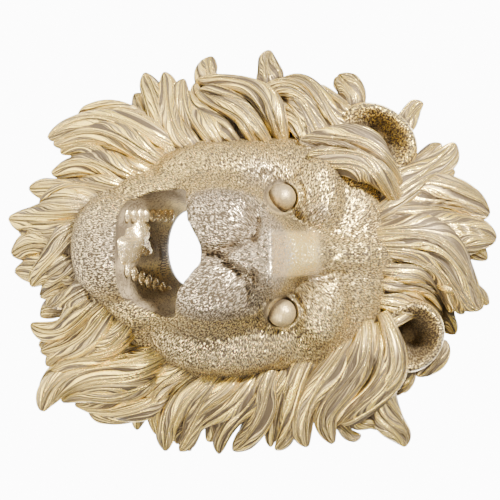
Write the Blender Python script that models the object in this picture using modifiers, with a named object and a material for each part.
"""Wall fountain spout: a lion's head with a full mane and an open mouth, cast in one piece.

Axes: X to the viewer's right, +Y into the wall, +Z up. The flat back is the plane y = 0 and the
origin is on it, level with the nose. In the tables every length is in millimetres, and depth is
the distance that a form stands out from the wall, so y = -depth.
"""

import math

import bpy
import numpy as np

MM = 0.001
NAME = "lion_head"
TRIANGLES = 8800
VOXEL = 1.2
SMOOTHING = 2

# The bed is the low dome under the mane: a rounded rectangle in outline.
BED_WIDE, BED_HIGH, BED_Z, BED_CORNER = 84.0, 101.0, -2.0, 2.5
BED_RIM, BED_CROWN = 4.0, 37.0
RAYS, RINGS = 220, 96

# Rounded masses of the face: x, z, half width, half height, depth at the crown, fall to the rim
# and squareness. The bridge of the nose widens and comes forward from the brow to the nose.
FACE = (
    (0, 18, 60, 56, 64, 30, 2.2),
    (0, -38, 54, 48, 61, 30, 2.0),
    (-28, 33, 21, 13, 68, 14, 2.0),
    (25, 35, 21, 14, 69, 14, 2.0),
    (-31, -14, 26, 38, 65, 18, 2.2),
    (33, -14, 28, 40, 65, 18, 2.2),
    (-1, -46, 40, 34, 71, 22, 2.6),
)
MUZZLE = (
    (0, -15, 33, 26, 96, 26, 3.6),
    (-16, -16, 15.5, 18, 105, 16, 2.4),
    (16, -20, 16, 20, 105, 16, 2.4),
)
CHIN = (-3, -68, 27, 23, 90, 30, 2.1)
FACE_BLEND, BLEND = 9.0, 4.0
BRIDGE_TOP, BRIDGE_END = 40.0, 5.0
BRIDGE_DEPTH = (70.0, 101.0)
BRIDGE_HALF = (8.0, 21.0)
NOSE_TOP, NOSE_TIP = 9.5, -12.5
NOSE_HALF = (16.0, 3.0)
NOSE_DEPTH = (109.0, 106.5)
EYE_X, EYE_Z, EYE_RADIUS, EYE_DEPTH = (-28.3, 29.3), 14.9, 7.0, 72.0
SOCKET_RADIUS, SOCKET_DEPTH = 11.0, 7.0
# Ends x, z and x, z, half width and height of each fold; a crease has a negative height.
FOLDS = (
    (-16, 2.6, -7.0, 0.8, 1.6, -7.0),
    (8.5, 0.4, 14.5, 2.6, 1.6, -7.0),
    (-7.5, -0.5, -1.2, -12.5, 1.3, -4.5),
    (10.4, -1.5, 3.4, -12.5, 1.3, -4.5),
    (1.0, -13, -0.5, -27, 1.3, -5.0),
    (-34, -4, -39, -17, 1.7, -3.6),
    (-22, 38, -17, 25, 3.0, 1.6),
    (9, 37, 15, 25, 3.0, 1.6),
    (-15.5, 22, -20, 31, 2.0, -2.2),
    (14.5, 22, 11, 38, 2.2, -3.0),
    (-40, 6, -30, 2, 1.6, -1.2),
    (24, 2, 40, 5, 1.6, -1.4),
)
# Around each eye: radius, half width, height, and the arc it covers in degrees from the right.
LIDS = (
    (8.6, 1.4, 3.4, 5, 175),
    (12.6, 1.3, 2.0, 25, 150),
    (8.4, 1.1, 1.8, 195, 345),
)

# The mouth is a funnel from the lips to the pipe hole in the back.
LIP_DEPTH, THROAT_DEPTH = 68.0, 24.0
MOUTH_X, MOUTH_Z, MOUTH_HALF, MOUTH_HIGH = -1.0, -46.0, 32.0, 21.0
HOLE_X, HOLE_Z, HOLE_HALF, HOLE_HIGH = -3.0, -32.5, 20.0, 11.5
LIP_CREST, LIP_DROP, LIP_SPREAD = -24.0, (8.5, 13.5), 13.0
TONGUE_HALF, TONGUE_RISE = 9.0, 5.0
MOUTH_SIDES = 48

# Locks of hair, by region: root x, z, tip x, z, how far the lock bows to its left near the root
# and near the tip, width, depth of its ridge at the root and at the tip.
LOCKS = {
    "crest": (
        (-22, 64, -26, 118, 5, 5, 15, 42, 26),
        (-18, 64, -20, 123, 7, 8, 18, 46, 28),
        (-11, 63, -7, 126, 5, 6, 22, 52, 32),
        (-6, 64, 3, 122, 4, 4, 12, 46, 26),
        (-5, 62, 28, 118, 12, 9, 18, 60, 40),
        (-3, 62, 8, 110, 9, 9, 13, 56, 35),
        (13, 96, 26, 122, 1, 1, 8, 46, 34),
        (1, 62, 31, 108, 13, 15, 14, 58, 38),
        (9, 63, 30, 102, 10, 11, 9, 56, 35),
        (16, 64, 29, 98, 5, 6, 8, 54, 33),
        (25, 64, 32, 98, 2, 4, 8, 52, 31),
        (34, 63, 32, 98, 2, 3, 7, 50, 30),
        (-25, 67, -58, 105, -2, -2, 14, 50, 26),
        (-31, 67, -57, 99, 1, 1, 8, 46, 22),
        (-17, 62, -43, 105, 2, 2, 11, 54, 30),
    ),
    "behind the left ear": (
        (-64, 68, -79, 90, -1, 0, 10, 26, 14),
        (-54, 75, -74, 79, -1, 0, 7, 30, 16),
        (-70, 53, -94, 45, -1, -1, 14, 30, 16),
        (-73, 54, -93, 44, -1, -1, 7, 24, 13),
    ),
    "left": (
        (-30, 67, -50, 28, -10, -5, 12, 60, 57),
        (-38, 69, -58, 24, -10, -6, 12, 57, 48),
        (-48, 62, -84, 5, 8, -7, 14, 55, 30),
        (-50, 52, -80, 6, 8, -6, 9, 54, 32),
        (-58, 58, -88, 12, 5, -7, 10, 49, 26),
        (-53, 29, -78, 6, -6, -6, 8, 48, 32),
        (-82, 8, -107, 10, 1, 2, 12, 24, 12),
        (-57, 11, -91, -28, -13, -12, 10, 48, 22),
        (-57, 5, -85, -27, -7, -6, 8, 49, 27),
        (-58, -2, -89, -29, -4, 2, 8, 50, 24),
        (-84, -18, -104, -21, 2, 2, 11, 24, 12),
        (-57, -8, -85, -33, 0, 4, 7, 49, 28),
        (-55, -16, -91, -35, 5, 6, 11, 50, 24),
        (-53, -26, -95, -46, 5, 4, 11, 50, 20),
        (-50, -36, -95, -56, 5, 3, 12, 48, 17),
        (-48, -42, -60, -106, -12, -14, 13, 48, 24),
        (-68, -54, -72, -91, -6, -5, 7, 34, 16),
        (-45, -48, -57, -103, -7, -8, 11, 52, 28),
        (-41, -53, -52, -99, -1, -6, 11, 54, 28),
    ),
    "beard": (
        (-36, -60, -42, -104, -4, -5, 12, 57, 28),
        (-31, -67, -34, -116, -2, -1, 13, 60, 24),
        (-26, -74, -26, -110, -2, -2, 11, 62, 30),
        (-20, -82, -19, -127, -2, -1, 14, 64, 20),
        (-13, -85, -11, -121, -1, -1, 12, 64, 26),
        (-6, -87, 0, -126, -1, -2, 16, 58, 18),
        (-8, -88, 17, -114, -3, -3, 13, 68, 30),
        (3, -88, 9, -124, 2, 3, 15, 60, 20),
        (6, -87, 22, -110, -1, -1, 12, 66, 28),
        (15, -83, 27, -106, 0, 0, 12, 66, 30),
    ),
    "lower right": (
        (19, -78, 36, -115, 8, 10, 12, 62, 22),
        (22, -73, 51, -110, 8, 6, 12, 60, 24),
        (27, -66, 58, -107, 7, 4, 12, 57, 24),
        (36, -62, 60, -104, 6, 2, 11, 52, 26),
        (48, -45, 82, -109, -2, -8, 15, 52, 22),
        (52, -52, 70, -111, -4, -4, 13, 46, 18),
        (59, -46, 77, -99, 4, -2, 11, 46, 22),
        (65, -46, 79, -93, 7, 6, 13, 38, 14),
        (69, -44, 82, -86, 8, 6, 11, 32, 12),
    ),
    "right": (
        (57, -29, 94, -50, -7, -8, 9, 50, 22),
        (55, -36, 92, -60, -7, -6, 9, 48, 18),
        (61, -21, 103, -45, -3, -4, 11, 50, 18),
        (64, -15, 103, -38, -4, -2, 10, 50, 17),
        (65, -1, 103, -32, -2, -6, 9, 51, 18),
        (64, -8, 102, -34, -4, -5, 8, 50, 20),
        (61, 11, 103, -10, 1, 2, 12, 50, 17),
        (64, 5, 105, -17, -1, -2, 9, 46, 14),
        (50, 34, 102, 12, -3, 0, 10, 52, 20),
        (55, 25, 101, 10, -3, -3, 8, 50, 17),
        (57, 18, 102, -3, 0, 0, 8, 48, 15),
        (40, 57, 98, 42, 1, -9, 13, 60, 30),
        (43, 51, 100, 29, -7, -8, 13, 56, 26),
        (37, 63, 87, 45, 18, 13, 11, 60, 32),
        (42, 62, 90, 41, 11, 5, 10, 58, 30),
        (72, 62, 101, 80, 1, 3, 14, 34, 16),
        (79, 51, 94, 72, -1, 0, 9, 32, 14),
        (84, 42, 94, 57, -2, -3, 7, 28, 20),
        (49, 69, 74, 74, 2, 4, 9, 34, 18),
    ),
    "behind the right ear": (
        (40, 91, 64, 86, 6, 5, 9, 34, 20),
        (24, 93, 42, 106, 3, 2, 10, 28, 20),
        (53, 81, 72, 75, 2, 2, 8, 28, 16),
    ),
    "behind the others": (
        (-15, -84, -16, -119, 0, 0, 10, 44, 14),
        (-7, -86, -5, -118, 0, 0, 9, 44, 14),
        (22, -80, 33, -111, 0, 0, 12, 42, 14),
        (40, -80, 47, -112, 0, 0, 14, 40, 14),
        (62, -78, 66, -101, 0, 0, 11, 34, 12),
        (-44, -74, -52, -95, 0, 0, 11, 38, 14),
        (74, -36, 95, -48, 0, 0, 10, 34, 13),
        (76, -26, 100, -39, 0, 0, 12, 34, 13),
        (78, -10, 98, -24, 0, 0, 12, 34, 13),
        (78, 8, 97, -6, 0, 0, 10, 34, 13),
        (78, 22, 95, 20, 0, 0, 10, 34, 13),
        (-72, -30, -88, -41, 0, 0, 11, 34, 13),
        (-60, -50, -84, -62, 0, 0, 12, 36, 14),
        (-74, -44, -88, -52, 0, 0, 9, 30, 13),
        (-74, 10, -90, 0, 0, 0, 9, 32, 13),
        (-74, 52, -88, 30, 3, 3, 11, 40, 18),
    ),
}
# The two ears are cups: centre x, z, half length, half width, lean in degrees, depth of the rim
# and how far the cup is hollowed.
EARS = (
    (-60, 65, 22, 16, 55, 40, 13),
    (42, 81, 19, 17, -30, 47, 22),
)
EAR_RAYS, EAR_RINGS = 64, 24
EAR_BACK, EAR_FOOT = 6.0, 0.8
LOCK_WIDEN, LOCK_FRONT, LOCK_BACK = 1.5, 0.45, 0.95
LOCK_SIDES, LOCK_STEPS = 16, 24
LOCK_DRAW, LOCK_BLUNT = 0.43, 0.88
LOCK_ARCH, ROOT_SINK, ROOT_REACH = 3.0, 12.0, 8.0
# The underside of a lock runs down to this depth and lifts off the wall over its last part.
LOCK_FLOOR, LOCK_LIFT = 3.0, 0.55
# How far a lock turns about its own line, in radians to each side.
TWIST = 0.42


def clear_scene():
    for ob in list(bpy.data.objects):
        bpy.data.objects.remove(ob, do_unlink=True)


def collection(name):
    made = bpy.data.collections.new(name)
    bpy.context.scene.collection.children.link(made)
    return made


def add_mesh(name, points, faces, into):
    mesh = bpy.data.meshes.new(name)
    mesh.from_pydata([tuple(p) for p in np.asarray(points) * MM], [], faces)
    mesh.update()
    ob = bpy.data.objects.new(name, mesh)
    into.objects.link(ob)
    return ob


def skin_rings(rings, sides, ends=True):
    """Faces that join each ring of points to the next, and close both ends."""
    faces = []
    for i in range(rings - 1):
        for j in range(sides):
            k = (j + 1) % sides
            a = i * sides
            faces.append((a + j, a + k, a + sides + k, a + sides + j))
    if ends:
        last = (rings - 1) * sides
        faces.append(tuple(reversed(range(sides))))
        faces.append(tuple(last + j for j in range(sides)))
    return faces


def soft_max(a, b, k):
    """The larger of two heights, with a fillet of about k where they meet."""
    h = np.clip(0.5 + 0.5 * (a - b) / k, 0.0, 1.0)
    return b + (a - b) * h + k * h * (1.0 - h)


def mass(x, z, cx, cz, wide, high, crown, fall, square):
    """Height of a rounded form's front, which runs on down steeply outside its rim."""
    r = (np.abs((x - cx) / wide) ** square + np.abs((z - cz) / high) ** square) ** (1.0 / square)
    cap = np.maximum(1.0 - r**square, 0.0) ** (1.0 / square)
    return crown - fall * (1.0 - cap) - 2.5 * min(wide, high) * np.maximum(r - 1.0, 0.0)


def bump(x, z, cx, cz, wide, high):
    """One at the centre and nothing far from it."""
    return np.exp(-(((x - cx) / wide) ** 2) - ((z - cz) / high) ** 2)


def ramp(v, low, high):
    """Nothing below low, one above high, and smooth between."""
    t = np.clip((v - low) / (high - low), 0.0, 1.0)
    return t * t * (3.0 - 2.0 * t)


def bridge(x, z):
    t = np.clip((BRIDGE_TOP - z) / (BRIDGE_TOP - BRIDGE_END), 0.0, 1.0)
    depth = BRIDGE_DEPTH[0] + (BRIDGE_DEPTH[1] - BRIDGE_DEPTH[0]) * t**1.15
    half = BRIDGE_HALF[0] + (BRIDGE_HALF[1] - BRIDGE_HALF[0]) * t**1.8
    past = np.maximum(z - BRIDGE_TOP, 0.0) + 3.0 * np.maximum(BRIDGE_END - z, 0.0)
    return depth - 7.0 * np.abs(x / half) ** 3 - 0.6 * past


def nose(x, z):
    t = (NOSE_TOP - z) / (NOSE_TOP - NOSE_TIP)
    inside = np.clip(t, 0.0, 1.0)
    half = NOSE_HALF[0] + (NOSE_HALF[1] - NOSE_HALF[0]) * ramp(inside, 0.25, 1.0)
    depth = NOSE_DEPTH[0] + (NOSE_DEPTH[1] - NOSE_DEPTH[0]) * inside
    past = np.maximum(z - NOSE_TOP, 0.0) + np.maximum(NOSE_TIP - z, 0.0)
    lobes = bump(x, z, -10.0, 6.0, 6.0, 4.0) + bump(x, z, 12.0, 6.5, 6.0, 4.0)
    return depth - 7.0 * np.abs((x - 1.0) / half) ** 4 - 3.0 * past + 1.8 * lobes


def eye(x, z, cx):
    across = (x - cx) ** 2 + (z - EYE_Z) ** 2
    ball = EYE_DEPTH - EYE_RADIUS + np.sqrt(np.maximum(EYE_RADIUS**2 - across, 0.0))
    return np.where(across < EYE_RADIUS**2, ball, 0.0)


def fold(x, z, x0, z0, x1, z1, wide, high):
    """A ridge or crease along the line between two points."""
    ax, az = x1 - x0, z1 - z0
    t = np.clip(((x - x0) * ax + (z - z0) * az) / (ax * ax + az * az), 0.0, 1.0)
    away = np.hypot(x - x0 - t * ax, z - z0 - t * az)
    return high * np.exp(-((away / wide) ** 2))


def lids(x, z, cx):
    """The folds of skin around one eye."""
    r = np.hypot(x - cx, z - EYE_Z)
    turn = np.degrees(np.arctan2(z - EYE_Z, x - cx))
    total = np.zeros_like(r)
    for radius, wide, high, start, end in LIDS:
        middle, half = (start + end) / 2.0, (end - start) / 2.0
        off = np.abs((turn - middle + 180.0) % 360.0 - 180.0)
        total = total + high * (1.0 - ramp(off, half - 25.0, half)) * np.exp(-(((r - radius) / wide) ** 2))
    return total


def face_depth(x, z):
    depth = mass(x, z, *FACE[0])
    for row in FACE[1:]:
        depth = soft_max(depth, mass(x, z, *row), FACE_BLEND)
    depth = soft_max(depth, bridge(x, z), FACE_BLEND)
    for row in (*MUZZLE, CHIN):
        depth = soft_max(depth, mass(x, z, *row), BLEND)
    depth = soft_max(depth, nose(x, z), BLEND)
    for cx in EYE_X:
        depth = depth - SOCKET_DEPTH * bump(x, z, cx, EYE_Z, SOCKET_RADIUS, SOCKET_RADIUS * 0.8)
        depth = np.maximum(depth + lids(x, z, cx), eye(x, z, cx))
    for row in FOLDS:
        depth = depth + fold(x, z, *row)
    return depth


def bed_depth(x, z):
    """The low dome under the mane."""
    q = np.abs(x / BED_WIDE) ** BED_CORNER + np.abs((z - BED_Z) / BED_HIGH) ** BED_CORNER
    return BED_RIM + BED_CROWN * np.sqrt(np.clip(1.0 - q, 0.0, 1.0))


def add_body(into):
    """The bed and the face as one solid: a fan of rays from the nose out to the bed's rim."""
    angle = np.arange(RAYS) * 2.0 * math.pi / RAYS
    ux, uz = np.cos(angle), np.sin(angle)
    reach = (np.abs(ux / BED_WIDE) ** BED_CORNER + np.abs(uz / BED_HIGH) ** BED_CORNER)
    reach = reach ** (-1.0 / BED_CORNER)
    part = (np.arange(RINGS) + 1.0) / RINGS
    x = part[:, None] * (reach * ux)[None, :]
    z = part[:, None] * (reach * uz)[None, :] + BED_Z
    depth = soft_max(bed_depth(x, z), face_depth(x, z), BLEND)
    front = np.stack([x, -depth, z], axis=2).reshape(-1, 3)
    back = np.stack([x[-1], np.full(RAYS, 6.0), z[-1]], axis=1)
    middle = face_depth(np.zeros(1), np.full(1, BED_Z))[0]
    points = np.vstack([front, back, [[0.0, -middle, BED_Z]]])
    faces = skin_rings(RINGS + 1, RAYS, ends=False)
    faces.append(tuple(RINGS * RAYS + j for j in range(RAYS)))
    centre = len(points) - 1
    faces += [(centre, (j + 1) % RAYS, j) for j in range(RAYS)]
    return add_mesh("body", points, faces, into)


def add_ear(row, into):
    """A cup with a rounded rim, closed behind."""
    cx, cz, long, wide, lean, rim, hollow = row
    angle = np.arange(EAR_RAYS) * 2.0 * math.pi / EAR_RAYS
    part = np.append((np.arange(EAR_RINGS) + 1.0) / EAR_RINGS, EAR_FOOT)[:, None]
    u, v = part * long * np.cos(angle), part * wide * np.sin(angle)
    c, s = math.cos(math.radians(lean)), math.sin(math.radians(lean))
    depth = rim - hollow * (1.0 - ramp(part, 0.2, 0.85)) - 6.0 * np.clip((part - 0.85) / 0.15, 0.0, 1.0) ** 2
    depth[-1] = EAR_BACK
    depth = np.broadcast_to(depth, u.shape)
    points = np.stack([cx + u * c - v * s, -depth, cz + u * s + v * c], axis=2).reshape(-1, 3)
    points = np.vstack([points, [[cx, hollow - rim, cz]]])
    faces = skin_rings(EAR_RINGS + 1, EAR_RAYS, ends=False)
    faces.append(tuple(EAR_RINGS * EAR_RAYS + j for j in range(EAR_RAYS)))
    faces += [(len(points) - 1, (j + 1) % EAR_RAYS, j) for j in range(EAR_RAYS)]
    return add_mesh("ear", points, faces, into)


def centreline(row, steps):
    """Points along a lock from root to tip, as (x, depth, z)."""
    x0, z0, x1, z1, near, far, _, deep0, deep1 = row
    t = 1.0 - np.linspace(1.0, 0.0, steps) ** 1.3
    chord = np.array([x1 - x0, z1 - z0], float)
    side = np.array([-chord[1], chord[0]]) / np.hypot(*chord)
    bow = 13.5 * t * (1.0 - t) * ((2.0 / 3.0 - t) * near + (t - 1.0 / 3.0) * far)
    plan = np.array([x0, z0]) + t[:, None] * chord + bow[:, None] * side
    plan = plan - ROOT_REACH * (np.clip(1.0 - t / 0.3, 0.0, 1.0) ** 2)[:, None] * chord / np.hypot(*chord)
    depth = deep0 + (deep1 - deep0) * t + LOCK_ARCH * np.sin(math.pi * t)
    depth = depth - ROOT_SINK * np.clip(1.0 - t / 0.22, 0.0, 1.0) ** 2
    return t, np.stack([plan[:, 0], depth, plan[:, 1]], axis=1)


def taper(t):
    """Share of the full width along a lock: narrow at the root, drawn in to a blunt tip."""
    swell = 0.42 + 0.58 * np.sin(0.5 * math.pi * np.minimum(1.0, t / 0.4))
    point = np.clip((t - LOCK_BLUNT) / (1.0 - LOCK_BLUNT), 0.0, 1.0)
    return swell * (1.0 - LOCK_DRAW * t**1.6) * np.sqrt(1.0 - 0.93 * point**2)


def add_lock(name, row, seed, into):
    """A lock of hair: an oval section, taller behind than in front, swept from root to tip."""
    t, line = centreline(row, LOCK_STEPS)
    width = LOCK_WIDEN * row[6] * taper(t)
    along = np.gradient(line, axis=0)
    along /= np.linalg.norm(along, axis=1)[:, None]
    side = np.stack([-along[:, 2], np.zeros(len(t)), along[:, 0]], axis=1)
    side /= np.linalg.norm(side, axis=1)[:, None]
    out = np.cross(along, side)
    out *= np.sign(out[:, 1])[:, None]
    twist = TWIST * np.sin(1.4 * math.pi * t + 2.4 * seed)[:, None]
    side, out = side * np.cos(twist) + out * np.sin(twist), out * np.cos(twist) - side * np.sin(twist)
    angle = np.arange(LOCK_SIDES) * 2.0 * math.pi / LOCK_SIDES
    across, up = np.cos(angle) / 2.0, np.sin(angle)
    middle = line - out * (LOCK_FRONT * width)[:, None]
    lift = np.clip((t - LOCK_LIFT) / (1.0 - LOCK_LIFT), 0.0, 1.0)
    down = np.maximum(LOCK_BACK * width, (middle[:, 1] - LOCK_FLOOR) * (1.0 - lift))
    front = np.maximum(up, 0.0) * (LOCK_FRONT * width)[:, None]
    back = np.minimum(up, 0.0) * down[:, None]
    ring = middle[:, None, :] + side[:, None, :] * (width[:, None] * across)[:, :, None]
    ring = ring + out[:, None, :] * front[:, :, None]
    ring[:, :, 1] += back
    points = ring.reshape(-1, 3) * np.array([1.0, -1.0, 1.0])
    return add_mesh(name, points, skin_rings(LOCK_STEPS, LOCK_SIDES), into)


def lip_line(x):
    """Height of the upper lip's edge: an arch under the nose, lower at the right-hand lobe."""
    drop = np.where(x < 0.0, LIP_DROP[0], LIP_DROP[1])
    return LIP_CREST - drop * (1.0 - np.exp(-((x / LIP_SPREAD) ** 2)))


def mouth_ring(share, depth):
    """One section of the funnel: share 0 is the opening at the lips, 1 the hole in the back."""
    angle = np.arange(MOUTH_SIDES) * 2.0 * math.pi / MOUTH_SIDES
    c, s = np.cos(angle), np.sin(angle)
    square = (np.abs(c) ** 4 + np.abs(s) ** 4) ** (-1.0 / 4.0)
    x = MOUTH_X + MOUTH_HALF * c * square * (1.0 + 0.17 * np.minimum(s * square, 0.0))
    z = np.minimum(MOUTH_Z + MOUTH_HIGH * s * square, lip_line(x))
    hole_x, hole_z = HOLE_X + HOLE_HALF * c, HOLE_Z + HOLE_HIGH * s
    x, z = x + (hole_x - x) * share, z + (hole_z - z) * share
    rise = TONGUE_RISE * math.sin(math.pi * share) * np.exp(-((x / TONGUE_HALF) ** 2))
    z = z + rise * (s < 0.0)
    return np.stack([x, np.full(MOUTH_SIDES, -depth), z], axis=1)


def add_mouth(into):
    """The cutter for the mouth, open in front of the lips and behind the wall plane."""
    shares = (0.0, 0.0, 0.15, 0.35, 0.55, 0.75, 0.9, 1.0, 1.0)
    inner = np.array(shares[1:-1])
    depths = [LIP_DEPTH + 60.0, *(LIP_DEPTH + (THROAT_DEPTH - LIP_DEPTH) * inner), -12.0]
    rings = [mouth_ring(share, depth) for share, depth in zip(shares, depths)]
    rings.reverse()
    return add_mesh("mouth_cutter", np.vstack(rings), skin_rings(len(rings), MOUTH_SIDES), into)


def add_wall(into):
    """The cutter that leaves the back flat at y = 0."""
    bpy.ops.mesh.primitive_cube_add(size=1.0)
    wall = bpy.context.object
    wall.name = "wall_cutter"
    wall.scale = (0.3, 0.04, 0.34)
    wall.location = (0.0, 0.02, 0.0)
    for holder in list(wall.users_collection):
        holder.objects.unlink(wall)
    into.objects.link(wall)
    return wall


def joined(name, obs, into):
    """One object that holds the closed shells of several."""
    points, faces = [], []
    for ob in obs:
        start = len(points)
        points += [tuple(v.co / MM) for v in ob.data.vertices]
        faces += [tuple(start + i for i in f.vertices) for f in ob.data.polygons]
    made = add_mesh(name, points, faces, into)
    for ob in obs:
        bpy.data.objects.remove(ob, do_unlink=True)
    return made


def baked(ob):
    """Replaces an object's mesh by what its modifiers make of it."""
    graph = bpy.context.evaluated_depsgraph_get()
    mesh = bpy.data.meshes.new_from_object(ob.evaluated_get(graph))
    ob.modifiers.clear()
    ob.data = mesh


def cut(ob, cutter):
    cutter.hide_render = True
    cutter.display_type = "WIRE"
    made = ob.modifiers.new("cut_" + cutter.name, "BOOLEAN")
    made.operation = "DIFFERENCE"
    made.solver = "EXACT"
    made.object = cutter


def gold():
    material = bpy.data.materials.new("antique_gold")
    material.use_nodes = True
    shader = material.node_tree.nodes["Principled BSDF"]
    shader.inputs["Base Color"].default_value = (0.62, 0.48, 0.26, 1.0)
    shader.inputs["Metallic"].default_value = 0.7
    shader.inputs["Roughness"].default_value = 0.4
    return material


def build():
    clear_scene()
    parts = collection("lion_head_spout")
    cutters = collection("cutters")
    clay = [add_body(parts)]
    for region, rows in LOCKS.items():
        for i, row in enumerate(rows):
            clay.append(add_lock(region, row, 17.0 * len(region) + i, parts))
    for row in EARS:
        clay.append(add_ear(row, parts))
    head = joined(NAME, clay, parts)
    shell = head.modifiers.new("one_skin", "REMESH")
    shell.mode = "VOXEL"
    shell.voxel_size = VOXEL * MM
    soften = head.modifiers.new("soften", "SMOOTH")
    soften.factor = 0.5
    soften.iterations = SMOOTHING
    baked(head)
    faces = sum(len(f.vertices) - 2 for f in head.data.polygons)
    fewer = head.modifiers.new("fewer_faces", "DECIMATE")
    fewer.ratio = TRIANGLES / faces
    baked(head)
    cut(head, add_wall(cutters))
    cut(head, add_mouth(cutters))
    head.data.materials.append(gold())
    print("before the cuts", faces, "->", len(head.data.polygons))


build()
